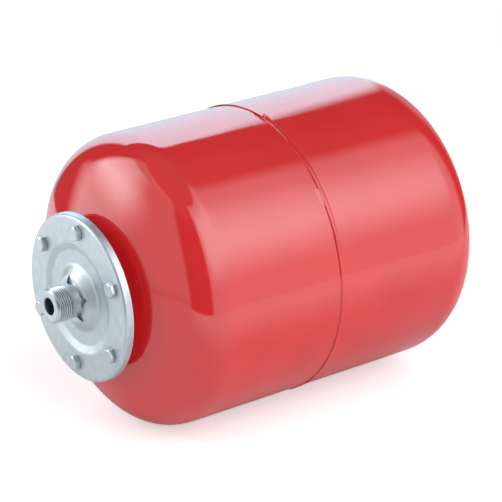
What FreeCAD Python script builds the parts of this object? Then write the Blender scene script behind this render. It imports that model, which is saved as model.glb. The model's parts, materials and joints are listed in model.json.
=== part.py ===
import FreeCAD, Part
import os
from math import asin, atan2, cos, degrees, hypot, pi, radians, sin, sqrt, tan

# Closed expansion tank lying on its side, in millimetres.
# X runs along the tank from the end of its water connection to the air valve, and Z is up.
# Angles about the tank are measured from its -Y side towards the top.

# Pressed steel body
body_radius = 140.0
body_length = 393.0          # crown to crown
crown_radius = 248.5
knuckle_radius = 42.0
wall = 1.2

# Seam, where the rear shell's necked edge laps inside the flared edge of the front shell
seam_from_crown = 186.6
seam_flare = 0.9
seam_flare_length = 1.3
seam_land = 0.7
seam_lap = 10.0
seam_shoulder = 1.8
weld_toe = 2.9
weld_crest = 1.0
weld_crest_offset = 1.0
weld_cover = 0.3             # how far the bead runs over the front shell's edge
weld_cover_height = 0.15
weld_stop_angle = 84.0       # where the bead runs over its own start
weld_stop_length = 12.0
weld_stop_rise = 0.8
weld_stop_spread = 1.4

# Water connection, a parallel pipe thread of size 1 with its crests kept plain
nipple_projection = 30.5     # from its end to the flange's bolting face
thread_radius = 16.625
thread_length = 16.5
thread_lead = 1.8
thread_runout = 0.7
nipple_neck_radius = 15.9
nipple_bore_radius = 8.3
nipple_edge = 0.6
nipple_collar = 4.0
collar_inset = 2.5           # inside the top of the flange's boss
nipple_weld_leg = 2.0
nipple_weld_root = 0.5

# Neck ring that is welded into the front shell and holds the bladder's lip
ring_depth = 9.0
ring_edge = 1.2
ring_front_edge = 0.8
ring_land = 4.0              # around the tapped holes
neck_bore_radius = 48.5
neck_wall = 8.5
neck_inside = 4.0
neck_clear = 1.6             # bare neck beyond the screws' ends or the weld
neck_fillet = 1.0
seat_edge = 1.5
neck_weld_leg = 3.5
weld_bulge = 0.12            # share of a corner weld's leg

# Six M8 hexagon screws
bolt_count = 6
bolt_land = 3.0              # between the lip's recess and the screws
bolt_start_angle = 26.5
bolt_radius = 4.0
bolt_length = 12.0
bolt_point = 0.8
bolt_clearance = 0.5
bolt_across_flats = 13.0
bolt_head = 5.3
bolt_chamfer = 0.9
bolt_chamfer_angle = 30.0
bolt_turns = (32.0, 58.0, 17.0, 46.0, 3.0, 22.0)

# Pressed flange plate
plate = 2.5
rim_gap = 3.5                # round the neck ring
rim_depth = 8.3
rim_bend = 3.2
shoulder_outset = 4.5        # from the neck's bore to the flat ring
dish_inset = 2.9             # from the neck's bore to the dished floor
dish_depth = 2.7
dish_bend = 5.0
boss_foot_radius = 32.0
boss_top_radius = 22.0
boss_height = 5.5
boss_bend = 6.0
stake_angles = (17.0, 101.5, 209.0, 317.0)   # struck unevenly round the boss
stake_reach = 25.0
stake_half_width = 6.5
stake_depth = 2.0
stake_tip_depth = 1.2

# Bladder
lip = 3.0
lip_width = 10.3
lip_clearance = 0.2
lip_edge = 0.8
lip_flat_inset = 1.0
bag_wall = 2.0
bag_side_gap = 22.5
bag_end_gap = 78.0
bag_neck = 13.3              # beyond the neck ring
bag_slope = 44.0
bag_neck_bend = 14.0
bag_shoulder_bend = 40.0
bag_end_bend = 84.0

# Air valve at the far end
stem_screw_radius = 6.2
stem_screw_length = 11.0
stem_across_flats = 14.0
stem_hex = 5.0
stem_radius = 3.88
stem_length = 16.0
stem_point = 0.6
stem_bore_radius = 1.85
stem_mouth_radius = 2.6
stem_mouth_depth = 6.6
stem_mouth_cone = 1.4
stem_gasket = 1.0
gasket_margin = 0.52         # beyond the hexagon's corners
boss_land = 2.4              # beyond the gasket
boss_outside = 8.0
boss_inside = 4.5
boss_edge = 0.8
boss_weld_leg = 3.0

# Valve core, with depths measured inwards from the end of the stem
plug_top = 1.0
plug_thread = 4.6
plug_edge = 0.3
key_slot_width = 1.1
key_slot_depth = 1.4
barrel_radius = 1.5
barrel_bore_radius = 1.1
barrel_tail = 4.8
barrel_floor = 2.4
seal_band = 2.2
seal_band_fit = 0.01
pin_radius = 0.52
pin_running_gap = 0.08
pin_top = 0.4
pin_tip = 0.2
pin_collar_depth = 3.0
pin_collar = 0.6
pin_tail = 0.8
cup_inset = 0.1
cup_depth = 2.2
cup_floor = 0.8
cup_wall = 0.3
cup_edge = 0.2
spring_wire_radius = 0.13
spring_turns = 7
spring_end_gap = 0.02

# Dust cap on the stem
cap_wall = 1.3
cap_skirt = 8.0
cap_crown = 1.6
cap_seal = 1.2
cap_fit = 0.02
cap_edge = 0.5
cap_flutes = 16
cap_flute_radius = 0.5
cap_flute_foot = 1.2

# Plastic cover over the valve
cover_reach = 6.0            # beyond the boss, at its open end
cover_taper = 1.8
cover_headroom = 3.6
cover_wall = 1.8
cover_bend = 4.0
cover_gap = 1.2
cover_web = 2.0
cover_web_inset = 1.0        # below the end of the boss
cover_ribs = 24
cover_rib = 0.7
cover_rib_foot = 11.0
cover_rib_length = 20.0

# Radii that follow from the neck's bore outwards
neck_radius = neck_bore_radius + neck_wall
lip_radius = neck_bore_radius + lip_width
bolt_circle_radius = lip_radius + lip_clearance + bolt_land + bolt_radius
ring_radius = bolt_circle_radius + bolt_radius + ring_land
flange_radius = ring_radius + rim_gap + plate
shoulder_radius = neck_bore_radius + shoulder_outset
dish_radius = neck_bore_radius - dish_inset
nipple_collar_radius = boss_top_radius - collar_inset
bolt_corner_radius = bolt_across_flats / 2 / cos(pi / 6)

# Radii of the bladder and the air valve
bag_radius = body_radius - wall - bag_side_gap
stem_gasket_radius = stem_across_flats / 2 / cos(pi / 6) + gasket_margin
boss_radius = stem_gasket_radius + boss_land
cup_radius = barrel_radius - cup_inset
spring_mean_radius = (pin_radius + barrel_bore_radius) / 2
cap_radius = stem_radius + cap_fit + cap_wall
cover_radius = boss_radius + cover_reach
cover_top_radius = cover_radius - cover_taper


def crown_drop(r, inset=0.0):
    """How far a dished end's face has fallen back from the crown at radius r."""
    return crown_radius - sqrt((crown_radius - inset) ** 2 - r ** 2)


# Planes along X
bolting_face = nipple_projection
ring_front = bolting_face + plate
ring_back = ring_front + ring_depth
lip_seat = ring_front + lip
lip_foot = ring_front + dish_depth + lip_clearance
bolt_end = bolting_face + bolt_length
neck_stand = max(bolt_end - ring_back, neck_weld_leg) + neck_clear
front_crown = ring_back + neck_stand - crown_drop(neck_radius)
neck_back = front_crown + crown_drop(neck_radius, wall) + neck_inside
seam = front_crown + seam_from_crown
far_crown = front_crown + body_length
bag_end = far_crown - wall - bag_end_gap
boss_top = far_crown + boss_outside
hex_foot = boss_top + stem_gasket
hex_top = hex_foot + stem_hex
stem_end = hex_top + stem_length
plug_foot = stem_end - plug_top - plug_thread
band_top = stem_end - stem_mouth_depth - stem_mouth_cone
barrel_end = band_top - seal_band - barrel_tail
cap_top = stem_end + cap_seal + cap_crown
cover_foot = far_crown + cover_gap
cover_top = cap_top + cover_headroom + cover_wall

# Dished ends: a crown sphere that runs into the cylinder through a knuckle
tangent_angle = asin((body_radius - knuckle_radius) / (crown_radius - knuckle_radius))
dish_height = crown_radius - (crown_radius - knuckle_radius) * cos(tangent_angle)

axis_x = FreeCAD.Vector(1, 0, 0)
axis_y = FreeCAD.Vector(0, 1, 0)
centre = FreeCAD.Vector(0, 0, 0)


def at(x, r):
    return FreeCAD.Vector(x, 0, r)


def line(a, b):
    return Part.LineSegment(a, b).toShape()


def arc(a, b, c):
    return Part.Arc(a, b, c).toShape()


def around(shape, angle):
    """Turn a shape that was made on the -Y side about the tank's axis."""
    turned_shape = shape.copy()
    turned_shape.rotate(centre, axis_x, -angle)
    return turned_shape


def on_side(shape, r):
    """Move a shape from the axis to radius r on the -Y side."""
    shape.translate(axis_y * -r)
    return shape


def revolve(edges):
    return Part.Face(Part.Wire(edges)).revolve(centre, axis_x, 360)


def path(points, closed=False):
    """Edges through (x, r, bend) points, each corner rounded by its bend radius."""
    count = len(points)
    corners = []
    for i, (x, r, bend) in enumerate(points):
        if bend == 0 or (not closed and i in (0, count - 1)):
            corners.append((at(x, r), None, at(x, r)))
            continue
        here = at(x, r)
        before = at(*points[i - 1][:2]) - here
        after = at(*points[(i + 1) % count][:2]) - here
        before.normalize()
        after.normalize()
        half = before.getAngle(after) / 2
        start = here + before * (bend / tan(half))
        end = here + after * (bend / tan(half))
        middle = before + after
        middle.normalize()
        nearest = here + middle * (bend / sin(half) - bend)
        corners.append((start, nearest, end))
    edges = []
    for i, (start, nearest, end) in enumerate(corners):
        if nearest is not None:
            edges.append(arc(start, nearest, end))
        if i + 1 == count and not closed:
            break
        follow = corners[(i + 1) % count][0]
        if end.distanceToPoint(follow) > 1e-6:
            edges.append(line(end, follow))
    return edges


def turned(points):
    return revolve(path(points, closed=True))


def offset_points(points, depth):
    """The same corners on the other face of a sheet that lies to the left of the path."""
    moved = []
    count = len(points)
    for i, (x, r, bend) in enumerate(points):
        normals = []
        for a, b in ((i - 1, i), (i, i + 1)):
            if a < 0 or b >= count:
                continue
            dx = points[b][0] - points[a][0]
            dr = points[b][1] - points[a][1]
            normals.append((dr / hypot(dx, dr), -dx / hypot(dx, dr)))
        nx, nr = normals[0]
        mx, mr = normals[-1]
        share = depth / (1 + nx * mx + nr * mr)
        opens = nx * mr - nr * mx > 0
        back = max(bend + depth if opens else bend - depth, 0.0) if bend else 0
        moved.append((x + (nx + mx) * share, r + (nr + mr) * share, back))
    return moved


def sheet(points, depth):
    """A revolved sheet whose front face follows the points."""
    behind = offset_points(points, depth)
    start = line(at(*behind[0][:2]), at(*points[0][:2]))
    end = line(at(*points[-1][:2]), at(*behind[-1][:2]))
    return revolve(path(points) + [end] + path(behind)[::-1] + [start])


def tube(x0, x1, outer, inner=0.0):
    rod = Part.makeCylinder(outer, x1 - x0, at(x0, 0), axis_x)
    if inner == 0:
        return rod
    return rod.cut(Part.makeCylinder(inner, x1 - x0, at(x0, 0), axis_x))


def hexagon(corner_radius, x0, x1, turn=0.0):
    points = []
    for i in range(7):
        angle = radians(60 * i + turn)
        points.append(FreeCAD.Vector(x0, corner_radius * cos(angle), corner_radius * sin(angle)))
    return Part.Face(Part.makePolygon(points)).extrude(axis_x * (x1 - x0))


def bolt_angles():
    return [bolt_start_angle + 360 / bolt_count * i for i in range(bolt_count)]


def dished_end(crown, towards, inset, r_start):
    """Crown and knuckle arcs of the outer face, or of the inner one at inset."""
    big = crown_radius - inset
    small = knuckle_radius - inset
    start_angle = asin(r_start / big)

    def on_crown(angle):
        return at(crown + towards * (crown_radius - big * cos(angle)), big * sin(angle))

    def on_knuckle(angle):
        x = dish_height - small * cos(angle)
        return at(crown + towards * x, body_radius - knuckle_radius + small * sin(angle))

    crown_middle = (start_angle + tangent_angle) / 2
    knuckle_middle = (tangent_angle + pi / 2) / 2
    return [
        arc(on_crown(start_angle), on_crown(crown_middle), on_crown(tangent_angle)),
        arc(on_knuckle(tangent_angle), on_knuckle(knuckle_middle), on_knuckle(pi / 2)),
    ]


def shell(crown, towards, hole, rim):
    """A half of the body: a dished end with a hole, its cylinder, and the points of its rim."""
    outside = dished_end(crown, towards, 0.0, hole)
    inside = dished_end(crown, towards, wall, hole)
    cylinder = crown + towards * dish_height
    corners = [at(cylinder, body_radius)]
    corners += [at(x, r) for x, r in rim]
    corners.append(at(cylinder, body_radius - wall))
    sides = [line(a, b) for a, b in zip(corners, corners[1:])]
    mouth = [at(crown + towards * crown_drop(hole, inset), hole) for inset in (wall, 0.0)]
    return revolve(outside + sides + inside[::-1] + [line(*mouth)])


def make_front_shell():
    flare_end = seam + seam_flare_length
    edge = flare_end + seam_land
    high = body_radius + seam_flare
    rim = [
        (seam, body_radius),
        (flare_end, high),
        (edge, high),
        (edge, high - wall),
        (flare_end, high - wall),
        (seam, body_radius - wall),
    ]
    return shell(front_crown, 1, neck_radius, rim)


def make_rear_shell():
    edge = seam + seam_flare_length + seam_land
    low = body_radius - wall
    rim = [
        (edge + seam_shoulder, body_radius),
        (edge, low),
        (seam - seam_lap, low),
        (seam - seam_lap, low - wall),
        (edge, low - wall),
        (edge + seam_shoulder, low),
    ]
    return shell(far_crown, -1, boss_radius, rim)


def girth_bead(cover, rise, spread):
    """Section of the bead in the corner between the two shells' edges."""
    edge = seam + seam_flare_length + seam_land
    high = body_radius + seam_flare
    start = at(edge - cover, high + weld_cover_height)
    crest = at(edge + weld_crest_offset, body_radius + weld_crest + rise)
    toe = at(edge + weld_toe + spread, body_radius)
    corners = [
        toe,
        at(edge + seam_shoulder, body_radius),
        at(edge, body_radius - wall),
        at(edge, high),
        at(edge - cover, high),
        start,
    ]
    return [arc(start, crest, toe)] + [line(a, b) for a, b in zip(corners, corners[1:])]


def make_girth_weld():
    """Bead round the seam, with the thicker stretch where it runs over its own start."""
    bead = revolve(girth_bead(weld_cover, 0, 0))
    turn = degrees(weld_stop_length / body_radius)
    stop = Part.Face(Part.Wire(girth_bead(seam_land, weld_stop_rise, weld_stop_spread)))
    stop = stop.revolve(centre, axis_x, turn)
    stop.rotate(centre, axis_x, 90 - weld_stop_angle - turn / 2)
    return bead.fuse(stop).removeSplitter()


def make_neck_ring():
    ring = turned([
        (ring_front, ring_radius, ring_front_edge),
        (ring_back, ring_radius, ring_edge),
        (ring_back, neck_radius, neck_fillet),
        (neck_back, neck_radius, 0),
        (neck_back, neck_bore_radius, ring_front_edge),
        (lip_seat, neck_bore_radius, seat_edge),
        (lip_seat, lip_radius + lip_clearance, 0),
        (ring_front, lip_radius + lip_clearance, 0),
    ])
    hole = on_side(tube(ring_front, ring_back, bolt_radius), bolt_circle_radius)
    return ring.cut([around(hole, angle) for angle in bolt_angles()])


def corner_weld(crown, towards, r, leg):
    """Bead outside a dished end, in its corner with a tube of radius r."""
    foot = at(crown + towards * crown_drop(r), r)
    under = at(crown + towards * crown_drop(r + leg / 2), r + leg / 2)
    toe = at(crown + towards * crown_drop(r + leg), r + leg)
    high = foot - axis_x * (towards * leg)
    outwards = FreeCAD.Vector(-towards, 0, 1)
    crest = (toe + high) * 0.5 + outwards * (leg * weld_bulge)
    return revolve([arc(foot, under, toe), arc(toe, crest, high), line(high, foot)])


def make_neck_weld():
    return corner_weld(front_crown, 1, neck_radius, neck_weld_leg)


def make_boss_weld():
    return corner_weld(far_crown, -1, boss_radius, boss_weld_leg)


def make_flange_plate():
    face = bolting_face
    top = face - boss_height
    floor = face + dish_depth
    plain = sheet([
        (top, nipple_neck_radius, 0),
        (top, boss_top_radius, boss_bend),
        (floor, boss_foot_radius, dish_bend),
        (floor, dish_radius, dish_bend),
        (face, shoulder_radius, dish_bend),
        (face, flange_radius, rim_bend),
        (face + rim_depth, flange_radius, 0),
    ], plate)
    hole = on_side(tube(face, ring_front, bolt_radius + bolt_clearance), bolt_circle_radius)
    cuts = [around(hole, angle) for angle in bolt_angles()]
    cuts += [around(stake_mark(), angle) for angle in stake_angles]
    return plain.cut(cuts)


def stake_mark():
    """Three-cornered dent that locks the nipple against turning, deepest at its neck."""
    top = bolting_face - boss_height
    above = top - stake_depth
    near = nipple_neck_radius
    slope = Part.makePolygon([
        FreeCAD.Vector(above, -near, -stake_half_width),
        FreeCAD.Vector(above, -stake_reach, -stake_half_width),
        FreeCAD.Vector(top + stake_tip_depth, -stake_reach, -stake_half_width),
        FreeCAD.Vector(top + stake_depth, -near, -stake_half_width),
        FreeCAD.Vector(above, -near, -stake_half_width),
    ])
    plan = Part.makePolygon([
        FreeCAD.Vector(above, -stake_reach, 0),
        FreeCAD.Vector(above, -near, stake_half_width),
        FreeCAD.Vector(above, -near, -stake_half_width),
        FreeCAD.Vector(above, -stake_reach, 0),
    ])
    wedge = Part.Face(slope).extrude(FreeCAD.Vector(0, 0, 2 * stake_half_width))
    return wedge.common(Part.Face(plan).extrude(axis_x * (2 * stake_depth)))


def make_nipple():
    seat = bolting_face - boss_height + plate
    back = seat + nipple_collar
    return turned([
        (0, nipple_bore_radius, 0),
        (0, thread_radius - thread_lead, nipple_edge),
        (thread_lead, thread_radius, 0),
        (thread_length, thread_radius, 0),
        (thread_length + thread_runout, nipple_neck_radius, 0),
        (seat, nipple_neck_radius, 0),
        (seat, nipple_collar_radius, nipple_edge),
        (back, nipple_collar_radius, nipple_edge),
        (back, nipple_bore_radius, 0),
    ])


def make_nipple_weld(flange_plate, nipple):
    """Bead on the wet side, between the nipple's collar and the plate."""
    seat = bolting_face - boss_height + plate
    leg = nipple_weld_leg
    inner = nipple_collar_radius - nipple_weld_root
    bead = turned([
        (seat, inner, 0),
        (seat + leg, inner, 0),
        (seat + leg, nipple_collar_radius, 0),
        (seat + leg / 2, nipple_collar_radius + leg, 0),
        (seat - leg, nipple_collar_radius + leg, 0),
    ])
    return max(bead.cut([flange_plate, nipple]).Solids, key=lambda solid: solid.BoundBox.XMax)


def make_bolt(turn):
    head_top = bolting_face - bolt_head
    flat_radius = bolt_corner_radius - bolt_chamfer / tan(radians(bolt_chamfer_angle))
    crowned = turned([
        (head_top, 0, 0),
        (head_top, flat_radius, 0),
        (head_top + bolt_chamfer, bolt_corner_radius, 0),
        (bolting_face, bolt_corner_radius, 0),
        (bolting_face, 0, 0),
    ])
    shank = turned([
        (bolting_face, 0, 0),
        (bolting_face, bolt_radius, 0),
        (bolt_end - bolt_point, bolt_radius, 0),
        (bolt_end, bolt_radius - bolt_point, 0),
        (bolt_end, 0, 0),
    ])
    head = hexagon(bolt_corner_radius, head_top, bolting_face, turn).common(crowned)
    return on_side(head.fuse(shank).removeSplitter(), bolt_circle_radius)


def make_bolts():
    places = zip(bolt_angles(), bolt_turns)
    return Part.makeCompound([around(make_bolt(turn), angle) for angle, turn in places])


def make_bladder():
    """Rubber bag, hung by its lip between the neck ring and the flange plate."""
    inner = neck_bore_radius - lip_clearance - bag_wall
    outer = inner + bag_wall
    neck_end = neck_back + bag_neck
    full = bag_radius - bag_wall
    bag = sheet([
        (lip_seat, inner, 0),
        (neck_end, inner, bag_neck_bend),
        (neck_end + bag_slope, full, bag_shoulder_bend),
        (bag_end - bag_wall, full, bag_end_bend),
        (bag_end - bag_wall, 0, 0),
    ], -bag_wall)
    lip_ring = turned([
        (ring_front, shoulder_radius + lip_flat_inset, 0),
        (ring_front, lip_radius, lip_edge),
        (lip_seat, lip_radius, lip_edge),
        (lip_seat, outer, 0),
        (lip_seat + lip, outer, 0),
        (lip_seat + lip, inner, 0),
        (lip_foot, inner, 0),
    ])
    return bag.fuse(lip_ring).removeSplitter()


def make_valve_boss():
    foot = far_crown - boss_inside
    return turned([
        (foot, stem_screw_radius, 0),
        (foot, boss_radius, boss_edge),
        (boss_top, boss_radius, boss_edge),
        (boss_top, stem_screw_radius, 0),
    ])


def make_stem_gasket():
    return tube(boss_top, hex_foot, stem_gasket_radius, stem_screw_radius)


def make_valve_stem():
    foot = hex_foot - stem_screw_length
    corner = stem_across_flats / 2 / cos(pi / 6)
    screw = tube(foot, hex_foot, stem_screw_radius)
    upper = turned([
        (hex_top, 0, 0),
        (hex_top, stem_radius, 0),
        (stem_end - stem_point, stem_radius, 0),
        (stem_end, stem_radius - stem_point, 0),
        (stem_end, 0, 0),
    ])
    mouth = turned([
        (stem_end, 0, 0),
        (stem_end, stem_mouth_radius, 0),
        (stem_end - stem_mouth_depth, stem_mouth_radius, 0),
        (band_top, stem_bore_radius, 0),
        (band_top, 0, 0),
    ])
    body = hexagon(corner, hex_foot, hex_top).fuse([screw, upper]).removeSplitter()
    return body.cut([mouth, tube(foot, band_top, stem_bore_radius)])


def make_core_barrel():
    """Screwed plug and barrel in one turned piece, with a slot for its key."""
    plug_radius = stem_mouth_radius
    plug_end = stem_end - plug_top
    floor_hole = pin_radius + pin_running_gap
    barrel = turned([
        (plug_end, barrel_bore_radius, 0),
        (plug_end, plug_radius - plug_edge, 0),
        (plug_end - plug_edge, plug_radius, 0),
        (plug_foot, plug_radius, 0),
        (plug_foot, barrel_radius, 0),
        (barrel_end, barrel_radius, 0),
        (barrel_end, floor_hole, 0),
        (barrel_end + barrel_floor, floor_hole, 0),
        (barrel_end + barrel_floor, barrel_bore_radius, 0),
    ])
    corner = FreeCAD.Vector(plug_end - key_slot_depth, -key_slot_width / 2, -plug_radius)
    return barrel.cut(Part.makeBox(key_slot_depth, key_slot_width, 2 * plug_radius, corner))


def make_barrel_seal():
    return tube(band_top - seal_band, band_top, stem_bore_radius - seal_band_fit, barrel_radius)


def make_core_pin():
    collar = stem_end - pin_collar_depth
    collar_radius = barrel_bore_radius - pin_running_gap
    return turned([
        (barrel_end - cup_depth - pin_tail, 0, 0),
        (barrel_end - cup_depth - pin_tail, pin_radius, 0),
        (collar - pin_collar, pin_radius, 0),
        (collar - pin_collar, collar_radius, 0),
        (collar, collar_radius, 0),
        (collar, pin_radius, 0),
        (stem_end - pin_top, pin_radius, pin_tip),
        (stem_end - pin_top, 0, 0),
    ])


def make_pin_cup():
    foot = barrel_end - cup_depth
    rim = barrel_end - cup_wall
    return turned([
        (foot, pin_radius, 0),
        (foot, cup_radius, cup_edge),
        (rim, cup_radius, 0),
        (rim, cup_radius - cup_wall, 0),
        (foot + cup_floor, cup_radius - cup_wall, 0),
        (foot + cup_floor, pin_radius, 0),
    ])


def make_pin_seal():
    return tube(barrel_end - cup_depth + cup_floor, barrel_end, cup_radius - cup_wall, pin_radius)


def make_pin_spring():
    margin = spring_wire_radius + spring_end_gap
    low = barrel_end + barrel_floor + margin
    length = stem_end - pin_collar_depth - pin_collar - margin - low
    helix = Part.makeHelix(length / spring_turns, length, spring_mean_radius)
    start = FreeCAD.Vector(spring_mean_radius, 0, 0)
    wire = Part.Wire(Part.makeCircle(spring_wire_radius, start, axis_y))
    coil = Part.Wire(helix).makePipeShell([wire], True, True)
    coil.rotate(centre, axis_y, 90)
    coil.translate(axis_x * low)
    return coil


def make_valve_cap():
    foot = stem_end - cap_skirt
    inner = stem_radius + cap_fit
    cap = turned([
        (foot, inner, 0),
        (foot, cap_radius, cap_edge),
        (cap_top, cap_radius - cap_edge, 2 * cap_edge),
        (cap_top, 0, 0),
        (stem_end + cap_seal, 0, 0),
        (stem_end + cap_seal, inner, 0),
    ])
    flute = on_side(tube(foot + cap_flute_foot, cap_top, cap_flute_radius), cap_radius)
    return cap.cut([around(flute, 360 / cap_flutes * i) for i in range(cap_flutes)])


def make_cap_seal():
    return tube(stem_end, stem_end + cap_seal, stem_radius + cap_fit)


def make_valve_cover():
    """Push-on cover: its web grips the boss, and its skirt stands clear of the tank."""
    cup = sheet([
        (cover_foot, cover_radius, 0),
        (cover_top, cover_top_radius, cover_bend),
        (cover_top, 0, 0),
    ], cover_wall)
    web_top = boss_top - cover_web_inset
    web = tube(web_top - cover_web, web_top, cover_radius - cover_wall, boss_radius)
    slope = atan2(cover_taper, cover_top - cover_foot)
    rib = Part.makeCylinder(cover_rib, cover_rib_length, centre, FreeCAD.Vector(cos(slope), sin(slope), 0))
    rib.translate(axis_x * (cover_foot + cover_rib_foot))
    rib = on_side(rib, cover_radius - cover_rib_foot * tan(slope))
    ribs = [around(rib, 360 / cover_ribs * i) for i in range(cover_ribs)]
    return cup.fuse([web] + ribs).removeSplitter()


def make_parts():
    flange_plate = make_flange_plate()
    nipple = make_nipple()
    return {
        "front_shell": make_front_shell(),
        "rear_shell": make_rear_shell(),
        "girth_weld": make_girth_weld(),
        "neck_ring": make_neck_ring(),
        "neck_weld": make_neck_weld(),
        "flange_plate": flange_plate,
        "connection_nipple": nipple,
        "nipple_weld": make_nipple_weld(flange_plate, nipple),
        "flange_bolts": make_bolts(),
        "bladder": make_bladder(),
        "valve_boss": make_valve_boss(),
        "boss_weld": make_boss_weld(),
        "stem_gasket": make_stem_gasket(),
        "valve_stem": make_valve_stem(),
        "core_barrel": make_core_barrel(),
        "barrel_seal": make_barrel_seal(),
        "core_pin": make_core_pin(),
        "pin_cup": make_pin_cup(),
        "pin_seal": make_pin_seal(),
        "pin_spring": make_pin_spring(),
        "valve_cap": make_valve_cap(),
        "cap_seal": make_cap_seal(),
        "valve_cover": make_valve_cover(),
    }


os.makedirs("parts", exist_ok=True)
for name, shape in make_parts().items():
    shape.exportStep("parts/" + name + ".step")
    print(name, len(shape.Solids), round(shape.Volume, 1), shape.isValid())
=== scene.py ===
import bpy
import bmesh
import json
from math import asin, atan2, cos, exp, pi, radians, sin, tan
from mathutils import Matrix, Vector, noise


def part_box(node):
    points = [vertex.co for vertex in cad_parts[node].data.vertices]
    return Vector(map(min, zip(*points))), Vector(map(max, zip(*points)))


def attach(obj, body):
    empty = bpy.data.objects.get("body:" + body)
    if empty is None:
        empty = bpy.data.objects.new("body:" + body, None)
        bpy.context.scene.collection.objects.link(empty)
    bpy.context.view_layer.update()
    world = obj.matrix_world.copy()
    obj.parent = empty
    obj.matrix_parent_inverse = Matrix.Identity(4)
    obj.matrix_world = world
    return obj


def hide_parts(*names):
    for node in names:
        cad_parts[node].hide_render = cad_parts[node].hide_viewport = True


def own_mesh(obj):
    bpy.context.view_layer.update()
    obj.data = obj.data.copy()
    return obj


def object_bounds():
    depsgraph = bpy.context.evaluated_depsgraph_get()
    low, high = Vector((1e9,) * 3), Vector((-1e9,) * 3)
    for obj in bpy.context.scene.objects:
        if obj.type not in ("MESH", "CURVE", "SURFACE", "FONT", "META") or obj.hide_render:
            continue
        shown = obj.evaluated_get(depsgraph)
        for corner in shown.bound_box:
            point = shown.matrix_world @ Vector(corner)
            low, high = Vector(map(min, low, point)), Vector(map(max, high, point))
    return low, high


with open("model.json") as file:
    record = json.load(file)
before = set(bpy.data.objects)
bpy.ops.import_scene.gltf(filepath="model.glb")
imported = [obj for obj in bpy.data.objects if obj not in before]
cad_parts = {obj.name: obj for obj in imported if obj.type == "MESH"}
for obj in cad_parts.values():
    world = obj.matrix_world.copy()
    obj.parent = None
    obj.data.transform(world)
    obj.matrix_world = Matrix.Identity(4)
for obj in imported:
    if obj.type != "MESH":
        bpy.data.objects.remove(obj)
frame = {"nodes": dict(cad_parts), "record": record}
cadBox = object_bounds()
print("frame loaded with", len(frame["nodes"]), "nodes")

mm = 0.001
axisX = Vector((1, 0, 0))


def addObject(name, data):
    item = bpy.data.objects.new(name, data)
    bpy.context.scene.collection.objects.link(item)
    return item


# Node trees

def newMaterial(name):
    material = bpy.data.materials.new(name)
    material.use_nodes = True
    tree = material.node_tree
    tree.nodes.clear()
    output = tree.nodes.new("ShaderNodeOutputMaterial")
    shader = tree.nodes.new("ShaderNodeBsdfPrincipled")
    tree.links.new(shader.outputs["BSDF"], output.inputs["Surface"])
    return material, tree, shader


def calc(tree, kind, a, b=None, c=None):
    node = tree.nodes.new("ShaderNodeMath")
    node.operation = kind
    for socket, value in zip(node.inputs, (a, b, c)):
        if value is None:
            continue
        if isinstance(value, (int, float)):
            socket.default_value = value
        else:
            tree.links.new(value, socket)
    return node.outputs[0]


def ramp(tree, value, low, high, start=0.0, end=1.0, kind="SMOOTHSTEP"):
    node = tree.nodes.new("ShaderNodeMapRange")
    node.interpolation_type = kind
    tree.links.new(value, node.inputs["Value"])
    node.inputs["From Min"].default_value = low
    node.inputs["From Max"].default_value = high
    node.inputs["To Min"].default_value = start
    node.inputs["To Max"].default_value = end
    return node.outputs["Result"]


def objectPoint(tree, stretch=(1, 1, 1)):
    coords = tree.nodes.new("ShaderNodeTexCoord")
    mapping = tree.nodes.new("ShaderNodeMapping")
    mapping.inputs["Scale"].default_value = stretch
    tree.links.new(coords.outputs["Object"], mapping.inputs["Vector"])
    return mapping.outputs["Vector"]


def cloud(tree, size, detail=2.0, stretch=(1, 1, 1)):
    # noise from 0 to 1 whose lumps are about that size in metres
    node = tree.nodes.new("ShaderNodeTexNoise")
    node.inputs["Scale"].default_value = 1 / size
    node.inputs["Detail"].default_value = detail
    tree.links.new(objectPoint(tree, stretch), node.inputs["Vector"])
    return node.outputs["Fac"]


def objectXyz(tree):
    split = tree.nodes.new("ShaderNodeSeparateXYZ")
    tree.links.new(objectPoint(tree), split.inputs[0])
    return split.outputs


def shade(tree, amount, first, second):
    # mixes two colours, each given as three numbers or as a socket
    node = tree.nodes.new("ShaderNodeMix")
    node.data_type = "RGBA"
    tree.links.new(amount, node.inputs[0])
    for socket, colour in ((node.inputs[6], first), (node.inputs[7], second)):
        if isinstance(colour, tuple):
            socket.default_value = (*colour, 1)
        else:
            tree.links.new(colour, socket)
    return node.outputs[2]


def bumps(tree, shader, layers):
    # layers of (height, metres), the coarsest first
    before = None
    for height, depth in layers:
        node = tree.nodes.new("ShaderNodeBump")
        node.inputs["Distance"].default_value = depth
        tree.links.new(height, node.inputs["Height"])
        if before is not None:
            tree.links.new(before, node.inputs["Normal"])
        before = node.outputs["Normal"]
    tree.links.new(before, shader.inputs["Normal"])


# Finishes

patchSpan = (0.35, 0.65)    # the part of the noise's range that colour patches use
glossSpan = (0.3, 0.7)      # and the part that roughness uses

paint = {
    "light": (0.755, 0.026, 0.030),
    "dark": (0.715, 0.023, 0.027),
    "patchSize": 60 * mm,
    "frontPaintedLight": (0.860, 0.028, 0.031),    # painted light: the front end is made a lighter red
    "frontPaintedLightShare": 0.9,
    "frontPaintedLightFrom": (0.06, 0.10),         # X where the front end's painted light starts to fade, and where it is gone
    "roughness": (0.045, 0.075),
    "glossSize": 12 * mm,
    "ior": 1.78,
    "peelSize": 3.2 * mm,
    "peelDepth": 0.016 * mm,
    "waveSize": 34 * mm,
    "waveDepth": 0.10 * mm,
}


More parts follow.
